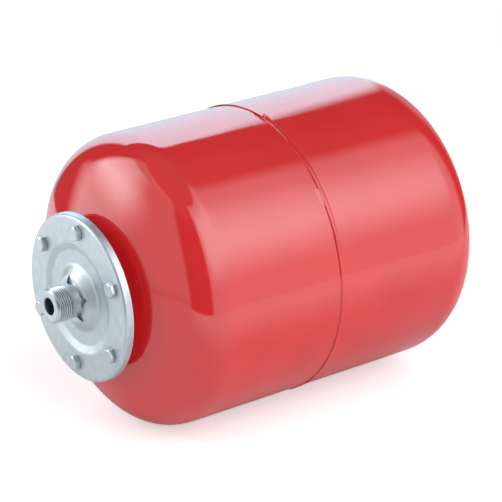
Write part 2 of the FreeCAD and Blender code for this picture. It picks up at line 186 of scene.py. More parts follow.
def makeRedPaint():
    material, tree, shader = newMaterial("redPaint")
    patches = ramp(tree, cloud(tree, paint["patchSize"]), *patchSpan)
    coat = shade(tree, patches, paint["light"], paint["dark"])
    # painted light: the front end of the tank is a lighter red, fading out along X
    frontPaintedLight = ramp(tree, objectXyz(tree)["X"], *paint["frontPaintedLightFrom"], paint["frontPaintedLightShare"], 0)
    tree.links.new(shade(tree, frontPaintedLight, coat, paint["frontPaintedLight"]), shader.inputs["Base Color"])
    gloss = ramp(tree, cloud(tree, paint["glossSize"], 3), *glossSpan, *paint["roughness"])
    tree.links.new(gloss, shader.inputs["Roughness"])
    shader.inputs["IOR"].default_value = paint["ior"]
    bumps(tree, shader, [
        (cloud(tree, paint["waveSize"], 1), paint["waveDepth"]),
        (cloud(tree, paint["peelSize"], 1.5), paint["peelDepth"]),
    ])
    return material


zinc = {
    "light": (0.655, 0.680, 0.720),
    "dark": (0.600, 0.625, 0.665),
    "patchSize": 10 * mm,
    "patchSpan": (0.35, 0.68),
    "paintedShade": (0.20, 0.225, 0.24),     # painted shade in the thread's roots, the bore and the dents
    "roughness": (0.40, 0.48),
    "glossSize": 4 * mm,
    "metallic": 0.9,
    "grain": 0.5 * mm,
    "grainDepth": 0.006 * mm,
    "waveSize": 9 * mm,
    "waveDepth": 0.05 * mm,
}


def makeZinc(name, roughness, shading=None, bumpShare=1):
    # the given function says how much painted shade a place gets, from its distance to the tank's axis and
    # its X
    material, tree, shader = newMaterial(name)
    patches = ramp(tree, cloud(tree, zinc["patchSize"], 4), *zinc["patchSpan"])
    colour = shade(tree, patches, zinc["light"], zinc["dark"])
    if shading:
        x, y, z = objectXyz(tree)
        reach = calc(tree, "SQRT", calc(tree, "ADD", calc(tree, "POWER", y, 2), calc(tree, "POWER", z, 2)))
        colour = shade(tree, shading(tree, reach, x), colour, zinc["paintedShade"])
    tree.links.new(colour, shader.inputs["Base Color"])
    satin = ramp(tree, cloud(tree, zinc["glossSize"], 3), *glossSpan, *roughness)
    tree.links.new(satin, shader.inputs["Roughness"])
    shader.inputs["Metallic"].default_value = zinc["metallic"]
    bumps(tree, shader, [
        (cloud(tree, zinc["waveSize"], 1), zinc["waveDepth"] * bumpShare),
        (cloud(tree, zinc["grain"], 2), zinc["grainDepth"] * bumpShare),
    ])
    return material


moulded = {
    "specular": 0.35,
    "patchGrains": 12,      # sizes of the patches of colour and of wear, in grains
    "wornGrains": 5,
    "unevenness": 0.06,
}


def makeMoulded(name, light, dark, grain, depth, roughness):
    # rubber or plastic
    material, tree, shader = newMaterial(name)
    patches = ramp(tree, cloud(tree, moulded["patchGrains"] * grain, 3), *patchSpan)
    tree.links.new(shade(tree, patches, light, dark), shader.inputs["Base Color"])
    shader.inputs["Specular IOR Level"].default_value = moulded["specular"]
    low, high = roughness - moulded["unevenness"], roughness + moulded["unevenness"]
    worn = ramp(tree, cloud(tree, moulded["wornGrains"] * grain, 2), *glossSpan, low, high)
    tree.links.new(worn, shader.inputs["Roughness"])
    bumps(tree, shader, [(cloud(tree, grain, 2), depth)])
    return material


turned = {
    "stretch": (1, 0.02, 0.02),    # the marks change along the axis and hardly round it
    "markDepth": 0.004 * mm,
    "dullMarks": 6,                # size of the duller patches, in marks
    "smoother": 0.05,
    "duller": 0.07,
}


def makeTurnedMetal(name, light, dark, roughness, pitch):
    material, tree, shader = newMaterial(name)
    marks = cloud(tree, pitch, 2, turned["stretch"])
    tree.links.new(shade(tree, ramp(tree, marks, *glossSpan), light, dark), shader.inputs["Base Color"])
    shader.inputs["Metallic"].default_value = 1
    low, high = roughness - turned["smoother"], roughness + turned["duller"]
    dull = ramp(tree, cloud(tree, turned["dullMarks"] * pitch, 2), *glossSpan, low, high)
    tree.links.new(dull, shader.inputs["Roughness"])
    bumps(tree, shader, [(marks, turned["markDepth"])])
    return material


finishes = {
    "red_paint": makeRedPaint(),
    "zinc_plate": makeZinc("zincPlate", zinc["roughness"]),
    "bladder_rubber": makeMoulded("bladderRubber", (0.032, 0.032, 0.034), (0.022, 0.022, 0.024),
                                  grain=1.2 * mm, depth=0.05 * mm, roughness=0.62),
    "seal_rubber": makeMoulded("sealRubber", (0.028, 0.028, 0.028), (0.018, 0.018, 0.018),
                               grain=0.4 * mm, depth=0.02 * mm, roughness=0.58),
    "seal_plastic": makeMoulded("sealPlastic", (0.72, 0.69, 0.62), (0.66, 0.62, 0.55),
                                grain=0.3 * mm, depth=0.008 * mm, roughness=0.4),
    "brass": makeTurnedMetal("brass", (0.74, 0.55, 0.26), (0.62, 0.44, 0.19),
                             roughness=0.24, pitch=0.16 * mm),
    "spring_steel": makeTurnedMetal("sprungSteel", (0.62, 0.62, 0.61), (0.5, 0.5, 0.5),
                                    roughness=0.25, pitch=0.12 * mm),
    "black_plastic": makeMoulded("blackPlastic", (0.030, 0.030, 0.032), (0.022, 0.022, 0.024),
                                 grain=0.25 * mm, depth=0.012 * mm, roughness=0.42),
}
for row in frame["record"]["subparts"]:
    node = frame["nodes"][row["node"]]
    node.data.materials.clear()
    node.data.materials.append(finishes[row["material_slot"]])
print("finishes made:", len(finishes))


# Making turned pieces

clear = 1 * mm    # how far a cutter reaches past what it cuts


def vertsIn(geom):
    return [item for item in geom if isinstance(item, bmesh.types.BMVert)]


def edgesIn(geom):
    return [item for item in geom if isinstance(item, bmesh.types.BMEdge)]


def openEdges(bm):
    return [edge for edge in bm.edges if edge.is_boundary]


def outwards(vert):
    # from the tank's axis straight out to the vert
    return Vector((0, vert.co.y, vert.co.z))


def startLine(bm, x, r):
    return bm.verts.new((x, 0, r))


def lineTo(bm, vert, x, r, steps=1):
    # straight run to (x, r), in equal steps
    start = vert.co.copy()
    end = Vector((x, 0, r))
    for i in range(steps):
        grown = bmesh.ops.extrude_vert_indiv(bm, verts=[vert])
        vert = grown["verts"][0]
        vert.co = start.lerp(end, (i + 1) / steps)
    return vert


def arcTo(bm, vert, centre, turn, steps):
    # round run about a centre (x, r); a positive turn goes from the front up to the outside
    grown = bmesh.ops.spin(bm, geom=[vert], cent=(centre[0], 0, centre[1]), axis=(0, 1, 0),
                           angle=turn, steps=steps, use_duplicate=False)
    return vertsIn(grown["geom_last"])[0]


def roundCorner(bm, vert, bend, segments):
    # replaces a corner of the line by an arc of that radius
    arms = [edge.other_vert(vert).co - vert.co for edge in vert.link_edges]
    reach = bend / tan(arms[0].angle(arms[1]) / 2)
    bmesh.ops.bevel(bm, geom=[vert], offset=reach, segments=segments, profile=0.5,
                    affect="VERTICES", offset_type="OFFSET", material=-1, clamp_overlap=True)


def drawLine(bm, corners, segments=5):
    # a line through (x, r, bend) corners
    verts = [startLine(bm, *corners[0][:2])]
    for x, r, bend in corners[1:]:
        verts.append(lineTo(bm, verts[-1], x, r))
    for vert, corner in zip(verts, corners):
        if corner[2] > 0:
            roundCorner(bm, vert, corner[2], segments)


def lathe(bm, steps):
    bmesh.ops.spin(bm, geom=bm.verts[:] + bm.edges[:], cent=(0, 0, 0), axis=axisX,
                   angle=2 * pi, steps=steps, use_merge=True, use_duplicate=False)
    bmesh.ops.remove_doubles(bm, verts=bm.verts, dist=0.001 * mm)
    bmesh.ops.recalc_face_normals(bm, faces=bm.faces)


def finishPiece(bm, name, slotName, replaced, sharp=30, finish=None):
    # every piece made here belongs to the tank's body; edges bent more than sharp degrees stay crisp
    data = bpy.data.meshes.new(name)
    bm.to_mesh(data)
    bm.free()
    data.polygons.foreach_set("use_smooth", [True] * len(data.polygons))
    data.set_sharp_from_angle(angle=radians(sharp))
    data.materials.append(finish or finishes[slotName])
    piece = addObject(name, data)
    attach(piece, "tank")
    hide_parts(*replaced)
    print("made", name, "with", sum(len(p.vertices) - 2 for p in data.polygons), "triangles")
    return piece


# Body shells

bodyShell = {
    "radius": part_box("rear_shell")[1].z,
    "crownRadius": 248.5 * mm,
    "knuckle": 42 * mm,
    "wall": 1.2 * mm,
    "frontCrown": 40.474 * mm,        # X of both domes' tops and of the seam
    "rearCrown": 433.474 * mm,
    "seam": 227.074 * mm,
    "flare": (1.3 * mm, 0.9 * mm),    # length and rise of the front shell's flared edge
    "flareStart": 0.55 * mm,          # how far past the CAD's line the sheet starts to rise
    "land": 0.7 * mm,                 # flat rim past the flare
    "shoulder": 1.8 * mm,             # past that rim, where the rear shell is necked in to lap
    "lap": 10 * mm,
    "crownSteps": 26,
    "knuckleSteps": 22,
    "lengthSteps": 30,
    "around": 288,
}
# where the front shell ends
seamEdge = bodyShell["seam"] + bodyShell["flare"][0] + bodyShell["land"]


def domeLine(bm, crown, towards, hole, inset):
    # crown and knuckle arcs of one face of the sheet, from the hole to the cylinder
    big = bodyShell["crownRadius"] - inset
    span = bodyShell["crownRadius"] - bodyShell["knuckle"]
    out = bodyShell["radius"] - bodyShell["knuckle"]
    tangent = asin(out / span)
    start = asin(hole / big)
    middle = crown + towards * bodyShell["crownRadius"]
    first = startLine(bm, middle - towards * big * cos(start), hole)
    vert = arcTo(bm, first, (middle, 0), towards * (tangent - start), bodyShell["crownSteps"])
    centre = (middle - towards * span * cos(tangent), out)
    vert = arcTo(bm, vert, centre, towards * (pi / 2 - tangent), bodyShell["knuckleSteps"])
    return first, vert


unevenSeam = {
    "height": 0.78,            # share of its full height that the seam mostly keeps
    "heightSwing": 0.55,
    "leastHeight": 0.45,
    "heightWaves": 6,          # the higher the number, the shorter the waves round the body
    "heightReach": 3 * mm,     # how far from the front shell's edge its height varies
    "drawDepth": 0.22 * mm,    # how far the weld has drawn the sheet in beside the seam
    "drawReach": 9 * mm,
    "drawSwing": 0.7,
    "drawWaves": 5,
    "skin": 3 * mm,            # both faces of the sheet lie within this of the full radius
}


def wave(side, waves, seed):
    return noise.noise(side * waves + axisX * seed)


def seamRise(side):
    # share of the full height that the seam keeps at that place round the body
    share = unevenSeam["height"] + unevenSeam["heightSwing"] * wave(side, unevenSeam["heightWaves"], 9)
    return min(max(share, unevenSeam["leastHeight"]), 1.0)


def drawIn(bm):
    # the sheet draws in a little beside the bead, unevenly round the seam
    radius, reach = bodyShell["radius"], unevenSeam["drawReach"]
    for vert in bm.verts:
        away = abs(vert.co.x - seamEdge)
        side = outwards(vert)
        r = side.length
        if away > 4 * reach or r < radius - unevenSeam["skin"]:
            continue
        side.normalize()
        if away < unevenSeam["heightReach"] and r > radius + 0.01 * mm:
            vert.co -= side * (r - radius) * (1 - seamRise(side))
        uneven = 1 + unevenSeam["drawSwing"] * wave(side, unevenSeam["drawWaves"], 3)
        vert.co -= side * unevenSeam["drawDepth"] * uneven * exp(-away / reach)


def makeShell(name, node, crown, towards, hole, corners):
    # the sheet's outer face from the hole to the seam, its edge, and its inner face back again
    bm = bmesh.new()
    start, vert = domeLine(bm, crown, towards, hole, 0)
    for x, r, steps in corners:
        vert = lineTo(bm, vert, x, r, steps)
    inner, last = domeLine(bm, crown, towards, hole, bodyShell["wall"])
    bm.edges.new((vert, last))
    bm.edges.new((start, inner))
    lathe(bm, bodyShell["around"])
    drawIn(bm)
    finishPiece(bm, name, "red_paint", [node])


def makeFrontShell():
    radius, wall, steps = bodyShell["radius"], bodyShell["wall"], bodyShell["lengthSteps"]
    seam = bodyShell["seam"]
    flareEnd = seam + bodyShell["flare"][0]
    high = radius + bodyShell["flare"][1]
    makeShell("frontShell", "front_shell", bodyShell["frontCrown"], 1, neck["radius"], [
        (seam + bodyShell["flareStart"], radius, steps), (flareEnd, high, 1), (seamEdge, high, 1),
        (seamEdge, high - wall, 1), (flareEnd, high - wall, 1), (seam, radius - wall, 1),
    ])


def makeRearShell():
    radius, wall, steps = bodyShell["radius"], bodyShell["wall"], bodyShell["lengthSteps"]
    shoulder = seamEdge + bodyShell["shoulder"]
    lapEnd = bodyShell["seam"] - bodyShell["lap"]
    low = radius - wall
    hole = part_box("valve_boss")[1].z
    makeShell("rearShell", "rear_shell", bodyShell["rearCrown"], -1, hole, [
        (shoulder, radius, steps), (seamEdge, low, 1), (lapEnd, low, 1),
        (lapEnd, low - wall, 1), (seamEdge, low - wall, 1), (shoulder, low, 1),
    ])


# Seam weld

girthBead = {
    "cover": (0.3 * mm, 1.05 * mm),        # over the front shell's edge, and its height there
    "flat": (                              # its face, as (past that edge, height)
        (0.3 * mm, 1.06 * mm), (1.5 * mm, 0.98 * mm), (2.7 * mm, 0.86 * mm), (3.3 * mm, 0.70 * mm),
    ),
    "toe": 4.0 * mm,                       # past that edge, where it ends on the rear shell
    "sink": 0.05 * mm,                     # how far its foot lies under the sheet's face
    "around": 720,
    "low": 0.2 * mm,                       # what lies lower keeps its shape, except at the toe
    "free": 0.9 * mm,                      # height from which it ripples fully
    "ripple": 0.08 * mm,
    "rippleWaves": (900, 420),             # per metre along the tank and round it
    "wander": 0.9 * mm,
    "wanderWaves": (26, 130),              # long and short waves of its rear edge, per metre
    "shortShare": 0.35,
    "toeStart": 0.2,                       # share of the way to the toe from which that edge wanders
    "toeEase": 0.1 * mm,
    "lumpAngle": 83.0,                     # round from the -Y side, where the bead runs over its start
    "lumpLength": 24 * mm,
    "lumpSides": 0.7,                      # the lower the number, the steeper the lump's ends
    "lumpWaves": (500, 380),
    "lumpRise": (0.75 * mm, 0.60 * mm),    # even part and rough part, here and in the next two
    "lumpSpread": (1.28 * mm, 0.80 * mm),
    "lumpLead": (1.12 * mm, 0.96 * mm),
}


def lumpShare(side):
    # 1 at the middle of the lump where the bead runs over its start, 0 away from it
    angle = radians(girthBead["lumpAngle"])
    middle = Vector((0, -cos(angle), sin(angle)))
    reach = side.angle(middle) * bodyShell["radius"] / (girthBead["lumpLength"] / 2)
    return (1 - reach ** 2) ** girthBead["lumpSides"] if reach < 1 else 0.0


def roughenBead(bm):
    radius, toe = bodyShell["radius"], girthBead["toe"]
    long, short = girthBead["wanderWaves"]
    for vert in bm.verts:
        side = outwards(vert)
        height = side.length - radius
        side.normalize()
        if height < girthBead["low"] and vert.co.x < seamEdge + toe - girthBead["toeEase"]:
            continue
        along = atan2(side.z, -side.y) * radius
        free = min(max(height / girthBead["free"], 0), 1)
        ripple, rough = (noise.noise(Vector((vert.co.x * waves[0], along * waves[1], seed)))
                         for waves, seed in ((girthBead["rippleWaves"], 0), (girthBead["lumpWaves"], 4)))
        wander = noise.noise(Vector((0, along * long, 7)))
        wander += girthBead["shortShare"] * noise.noise(Vector((0, along * short, 2)))
        lump = lumpShare(side)
        rise, spread, lead = (lump * (girthBead[key][0] + girthBead[key][1] * rough)
                              for key in ("lumpRise", "lumpSpread", "lumpLead"))
        vert.co += side * (height * (seamRise(side) - 1) * (1 - lump))
        vert.co += side * (free * (girthBead["ripple"] * ripple + rise))
        past = (vert.co.x - seamEdge) / toe
        if past > girthBead["toeStart"]:
            vert.co.x += past * (girthBead["wander"] * wander + spread)
        elif lump > 0 and height > bodyShell["flare"][1]:
            vert.co.x -= lead


def makeGirthWeld():
    bm = bmesh.new()
    radius, foot = bodyShell["radius"], bodyShell["radius"] - girthBead["sink"]
    high = radius + bodyShell["flare"][1]
    cover, coverHeight = girthBead["cover"]
    corners = [
        (seamEdge, high), (seamEdge - cover, high), (seamEdge - cover, radius + coverHeight),
        *((seamEdge + x, radius + rise) for x, rise in girthBead["flat"]),
        (seamEdge + girthBead["toe"], foot), (seamEdge + bodyShell["shoulder"], foot),
        (seamEdge, radius - bodyShell["wall"]),
    ]
    first = startLine(bm, *corners[0])
    vert = first
    for x, r in corners[1:]:
        vert = lineTo(bm, vert, x, r)
    bm.edges.new((vert, first))
    lathe(bm, girthBead["around"])
    roughenBead(bm)
    finishPiece(bm, "girthWeld", "red_paint", ["girth_weld"], sharp=60)


# Screws and their holes

screw = {
    "count": 6,
    "startAngle": 26.5,
    "turns": (32, 58, 17, 46, 3, 22),           # how far each head is turned
    "circle": 66.0 * mm,
    "radius": 4 * mm,
    "hole": 4.5 * mm,                           # radius of the plate's holes
    "holeSides": 48,
    "across": 13 * mm,                          # across the head's flats
    "flatRadius": 5.95 * mm,                    # inside the head's chamfer
    "dimple": (0.08 * mm, 3.2 * mm, 4.1 * mm),  # hollow in the head: depth, radius of floor and rim
    "dimpleBend": 0.4 * mm,
    "washer": (0.35 * mm, 5.9 * mm),            # washer face under the head: depth and radius
    "point": 0.3 * mm,                          # chamfer at the shank's end
    "taper": 0.03 * mm,
    "edge": 0.16 * mm,                          # width of the head's rounded edges
    "edgesFrom": 5 * mm,                        # no edge nearer the screw's axis is rounded
    "around": 96,
    "roughness": (0.30, 0.36),
    "bumpShare": 0.35,
}


def screwTurn(i):
    # turns a piece made on the -Y side round to the i-th screw
    return Matrix.Rotation(-radians(screw["startAngle"] + 360 / screw["count"] * i), 4, "X")


def carve(bm, cutter):
    # takes the cutter's solids out of a piece
    bmesh.ops.recalc_face_normals(cutter, faces=cutter.faces)
    objects = []
    for name, source in (("carved", bm), ("cutter", cutter)):
        data = bpy.data.meshes.new(name)
        source.to_mesh(data)
        objects.append(addObject(name, data))
    cutter.free()
    work, tool = objects
    modifier = work.modifiers.new("carving", "BOOLEAN")
    modifier.operation = "DIFFERENCE"
    modifier.solver = "EXACT"
    modifier.object = tool
    done = bpy.data.meshes.new_from_object(work.evaluated_get(bpy.context.evaluated_depsgraph_get()))
    bm.clear()
    bm.from_mesh(done)
    for item in objects:
        bpy.data.objects.remove(item)


def pushFace(cutter, face, depth):
    # makes a solid of a face, along X, and gives its new verts
    tops = vertsIn(bmesh.ops.extrude_face_region(cutter, geom=[face])["geom"])
    bmesh.ops.translate(cutter, verts=tops, vec=(depth, 0, 0))
    return tops


def cutHoles(bm, low, high, radius):
    # bores a hole through a piece at each screw
    cutter = bmesh.new()
    for i in range(screw["count"]):
        made = bmesh.ops.create_circle(cutter, cap_ends=True, segments=screw["holeSides"], radius=radius)
        verts = made["verts"]
        bmesh.ops.rotate(cutter, verts=verts, matrix=Matrix.Rotation(pi / 2, 3, "Y"))
        bmesh.ops.translate(cutter, verts=verts, vec=(low, -screw["circle"], 0))
        tops = pushFace(cutter, verts[0].link_faces[0], high - low)
        bmesh.ops.transform(cutter, verts=verts + tops, matrix=screwTurn(i))
    carve(bm, cutter)


# Flange plate

plate = {
    "radius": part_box("flange_plate")[1].z,
    "back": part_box("flange_plate")[1].x,
    "thickness": 2.5 * mm,
    "hole": 15.9 * mm,
    "bossHeight": 5.5 * mm,
    "bossTop": 22 * mm,                    # this and the next radii go from the boss to the flat ring
    "bossFoot": 32 * mm,
    "dishDepth": 2.7 * mm,
    "dish": 45.6 * mm,
    "shoulder": 53 * mm,
    "bossBend": 6 * mm,
    "bend": 5 * mm,
    "rimBend": 3.2 * mm,
    "lineStep": 0.8 * mm,                  # no stretch of the profile is longer
    "around": 288,
    "holeSpan": (-4 * mm, 6 * mm),         # how far the screw holes' cutters reach from the face
    "stakes": ((17.0, 1.0), (101.5, 0.78), (209.0, 0.85), (317.0, 0.78)),    # angle, share of full size
    "stakeReach": 25 * mm,
    "stakeHalfWidth": 7.2 * mm,
    "stakeDepth": (2.6 * mm, 1.2 * mm),    # how dark the painted shade in the dents is
    "shading": 0.75,                          # how dirty the dents are
    "shadeDepth": (0.4 * mm, 1.8 * mm),     # where the painted shade starts, and where it is full
    "shadeEdge": (-1 * mm, 3 * mm),         # from the boss's top, where its flank starts and the painted shade ends
}
plate["face"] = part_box("flange_plate")[0].x + plate["bossHeight"]


def smoothStep(value):
    value = min(max(value, 0), 1)
    return value * value * (3 - 2 * value)


def cutStakes(bm):
    # the three-cornered dents that lock the connection against turning
    top = plate["face"] - plate["bossHeight"]
    deep, shallow = plate["stakeDepth"]
    near, reach = plate["hole"] - clear, plate["stakeReach"]
    cutter = bmesh.new()
    for angle, share in plate["stakes"]:
        low, half = top + deep * share, plate["stakeHalfWidth"] * share
        corners = [(low, -near, half), (low, -near, -half), (top + shallow, -reach, 0)]
        verts = [cutter.verts.new(corner) for corner in corners]
        tops = pushFace(cutter, cutter.faces.new(verts), -2 * deep)
        bmesh.ops.transform(cutter, verts=verts + tops, matrix=Matrix.Rotation(-radians(angle), 4, "X"))
    carve(bm, cutter)


def paintedShadeInStakes(tree, reach, x):
    # painted shade in the dents: below the boss's top and flank, where only the dents are
    top, (flankStart, shadeEnd) = plate["bossTop"], plate["shadeEdge"]
    slope = (plate["bossHeight"] + plate["dishDepth"]) / (plate["bossFoot"] - top)
    past = calc(tree, "MAXIMUM", calc(tree, "SUBTRACT", reach, top + flankStart), 0)
    below = calc(tree, "SUBTRACT", x, plate["face"] - plate["bossHeight"])
    depth = calc(tree, "SUBTRACT", below, calc(tree, "MULTIPLY", past, slope))
    near = ramp(tree, reach, top, top + shadeEnd, 1, 0)
    return calc(tree, "MULTIPLY", ramp(tree, depth, *plate["shadeDepth"], 0, plate["shading"]), near)


def makeFlangePlate():
    bm = bmesh.new()
    face, radius = plate["face"], plate["radius"]
    top = face - plate["bossHeight"]
    bottom = face + plate["dishDepth"]
    drawLine(bm, [
        (top, plate["hole"], 0),
        (top, plate["bossTop"], plate["bossBend"]),
        (bottom, plate["bossFoot"], plate["bend"]),
        (bottom, plate["dish"], plate["bend"]),
        (face, plate["shoulder"], plate["bend"]),
        (face, radius, plate["rimBend"]),
        (plate["back"], radius, 0),
    ], segments=8)
    for edge in bm.edges[:]:
        cuts = int(edge.calc_length() / plate["lineStep"])
        if cuts > 0:
            bmesh.ops.subdivide_edges(bm, edges=[edge], cuts=cuts)
    lathe(bm, plate["around"])
    if min(bm.faces, key=lambda f: f.calc_center_median().x).normal.x > 0:
        bmesh.ops.reverse_faces(bm, faces=bm.faces)
    bmesh.ops.solidify(bm, geom=bm.faces[:], thickness=plate["thickness"])
    cutStakes(bm)
    cutHoles(bm, *(face + reach for reach in plate["holeSpan"]), screw["hole"])
    # the plate's zinc, with painted shade in the stake dents
    struck = makeZinc("struckZinc", zinc["roughness"], paintedShadeInStakes)
    finishPiece(bm, "flangePlate", "zinc_plate", ["flange_plate"], sharp=40, finish=struck)


# Water connection, with its pipe thread

nipple = {
    "radius": 16.625 * mm,
    "pitch": 2.309 * mm,
    "rounding": 0.317 * mm,                # of the thread's crests and roots
    "flank": 27.5,                         # half the angle between two flanks
    "mouth": 14.6 * mm,                    # radius of the end face
    "mouthRound": ((0.14 * mm, 0.07 * mm), (0.04 * mm, -0.08 * mm), (0, -0.3 * mm)),
    "leadSlope": 0.85,
    "lead": (2.3 * mm, 3.3 * mm),          # cone at the end, and where the thread has come in fully
    "firstRoot": 1.75,                     # pitches before the end face where the cutting starts
    "threadEnd": (15.3 * mm, 17.2 * mm),   # where it starts to run out, and where it is gone
    "trim": 0.3 * mm,                      # inside the end face and past the run-out, where it is cut off
    "neck": 15.9 * mm,
    "neckRound": 0.4 * mm,
    "bore": 8.3 * mm,
    "boreRound": ((0, 0.5 * mm), (0.06 * mm, 0.28 * mm), (0.28 * mm, 0.06 * mm), (0.5 * mm, 0)),
    "boreBack": 0.3 * mm,                  # chamfer at the bore's inner end
    "seat": 27.5 * mm,
    "collar": 19.5 * mm,
    "back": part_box("connection_nipple")[1].x,
    "edge": 0.6 * mm,
    "roughness": (0.30, 0.38),
    "around": 180,
    "rootShade": (0.7 * mm, 0.25 * mm),     # painted shade in the roots: full so far under the neck, none so far under a crest
    "rootShadeInner": (1.5 * mm, 1 * mm),   # how much further in it starts, and is full
    "rootShadeEnd": 1 * mm,                 # length over which it fades at the run-out
    # how dark the painted shade in the bore is
    "boreShade": 0.85,
    "boreShadeReach": (0.1 * mm, 0.4 * mm), # past the bore's radius, where it starts to fade and is gone
    "boreShadeStart": 2.5 * mm,
}


def threadSurface(bm, start, end):
    # right-hand thread between two planes, as a zigzag with rounded corners that is spun up a helix
    pitch, rounding, around = nipple["pitch"], nipple["rounding"], nipple["around"]
    flank = radians(nipple["flank"])
    sharp = pitch / 2 / tan(flank)
    crest = nipple["radius"] + rounding * (1 / sin(flank) - 1)
    root = crest - sharp
    x = start - nipple["firstRoot"] * pitch
    corners = [(x, root, 0)]
    while x < end + 0.6 * pitch:
        corners += [(x + pitch / 2, crest, rounding), (x + pitch, root, rounding)]
        x += pitch
    corners[-1] = (corners[-1][0], root, 0)
    drawLine(bm, corners, segments=3)
    bmesh.ops.spin(bm, geom=bm.verts[:] + bm.edges[:], cent=(0, 0, 0), axis=axisX,
                   dvec=(pitch / around, 0, 0), angle=2 * pi, steps=around,
                   use_merge=False, use_duplicate=False)
    bmesh.ops.remove_doubles(bm, verts=bm.verts, dist=0.002 * mm)


def setRadius(vert, r):
    vert.co = Vector((vert.co.x, 0, 0)) + outwards(vert).normalized() * r


def trimLoop(bm, x, keepAbove):
    # cuts the surface off at a plane and gives the edges of the cut
    bmesh.ops.bisect_plane(bm, geom=bm.verts[:] + bm.edges[:] + bm.faces[:], dist=0.001 * mm,
                           plane_co=(x, 0, 0), plane_no=axisX,
                           clear_inner=keepAbove, clear_outer=not keepAbove)
    bmesh.ops.remove_doubles(bm, verts=bm.verts, dist=0.004 * mm)
    return [edge for edge in openEdges(bm) if all(abs(vert.co.x - x) < 0.01 * mm for vert in edge.verts)]


def ringsOn(bm, edges, rings):
    # grows a tube from a loop of edges through (x, r) rings
    for x, r in rings:
        grown = bmesh.ops.extrude_edge_only(bm, edges=edges)["geom"]
        for vert in vertsIn(grown):
            vert.co.x = x
            setRadius(vert, r)
        edges = edgesIn(grown)
    return edges


def easeCorner(x, r, before, after, size):
    # three rings that round a corner whose arms point along before and after, the middle one
    # 0.3 of the size along both
    return [(x + size * along, r + size * out) for along, out in (
        before, (0.3 * (before[0] + after[0]), 0.3 * (before[1] + after[1])), after,
    )]


def paintedShadeInThread(tree, reach, x):
    # painted shade in the thread's roots and the bore
    low, high = nipple["neck"] - nipple["rootShade"][0], nipple["radius"] - nipple["rootShade"][1]
    inner, full = (low - further for further in nipple["rootShadeInner"])
    end = nipple["threadEnd"][1]
    inThread = ramp(tree, reach, low, high, 1, 0)
    for share in (ramp(tree, reach, inner, full), ramp(tree, x, *nipple["lead"]),
                  ramp(tree, x, end - nipple["rootShadeEnd"], end, 1, 0)):
        inThread = calc(tree, "MULTIPLY", inThread, share)
    fade, gone = (nipple["bore"] + further for further in nipple["boreShadeReach"])
    inBore = calc(tree, "MULTIPLY", ramp(tree, reach, fade, gone, nipple["boreShade"], 0),
                  ramp(tree, x, 0, nipple["boreShadeStart"]))
    return calc(tree, "MAXIMUM", inThread, inBore)


def makeNipple():
    bm = bmesh.new()
    start, end = nipple["trim"], nipple["threadEnd"][1] + nipple["trim"]
    threadSurface(bm, start, end)
    mouth = nipple["mouth"]
    leadEnd, cutStart = nipple["lead"]
    fadeStart, fadeEnd = nipple["threadEnd"]
    for vert in bm.verts:
        r = outwards(vert).length
        plain = min(nipple["radius"], mouth + nipple["leadSlope"] * max(vert.co.x, 0))
        r = plain + (min(r, plain) - plain) * smoothStep((vert.co.x - leadEnd) / (cutStart - leadEnd))
        fade = smoothStep((vert.co.x - fadeStart) / (fadeEnd - fadeStart))
        setRadius(vert, r + (nipple["neck"] - r) * fade)
    front = trimLoop(bm, start, True)
    far = trimLoop(bm, end, False)
    bore, back, seat, collar = nipple["bore"], nipple["back"], nipple["seat"], nipple["collar"]
    last = ringsOn(bm, front, [
        *((x, mouth + r) for x, r in nipple["mouthRound"]),
        *((x, bore + r) for x, r in nipple["boreRound"]),
        (back - nipple["boreBack"], bore), (back, bore + nipple["boreBack"]),
        *easeCorner(back, collar, (0, -1), (-1, 0), nipple["edge"]),
        *easeCorner(seat, collar, (1, 0), (0, -1), nipple["edge"]),
        *easeCorner(seat, nipple["neck"], (0, 1), (-1, 0), nipple["neckRound"]),
    ])
    bmesh.ops.bridge_loops(bm, edges=last + far)
    bmesh.ops.recalc_face_normals(bm, faces=bm.faces)
    # the connection's zinc, with painted shade in the thread's roots and the bore
    cut = makeZinc("turnedZinc", nipple["roughness"], paintedShadeInThread)
    finishPiece(bm, "connectionNipple", "zinc_plate", ["connection_nipple"], sharp=50, finish=cut)


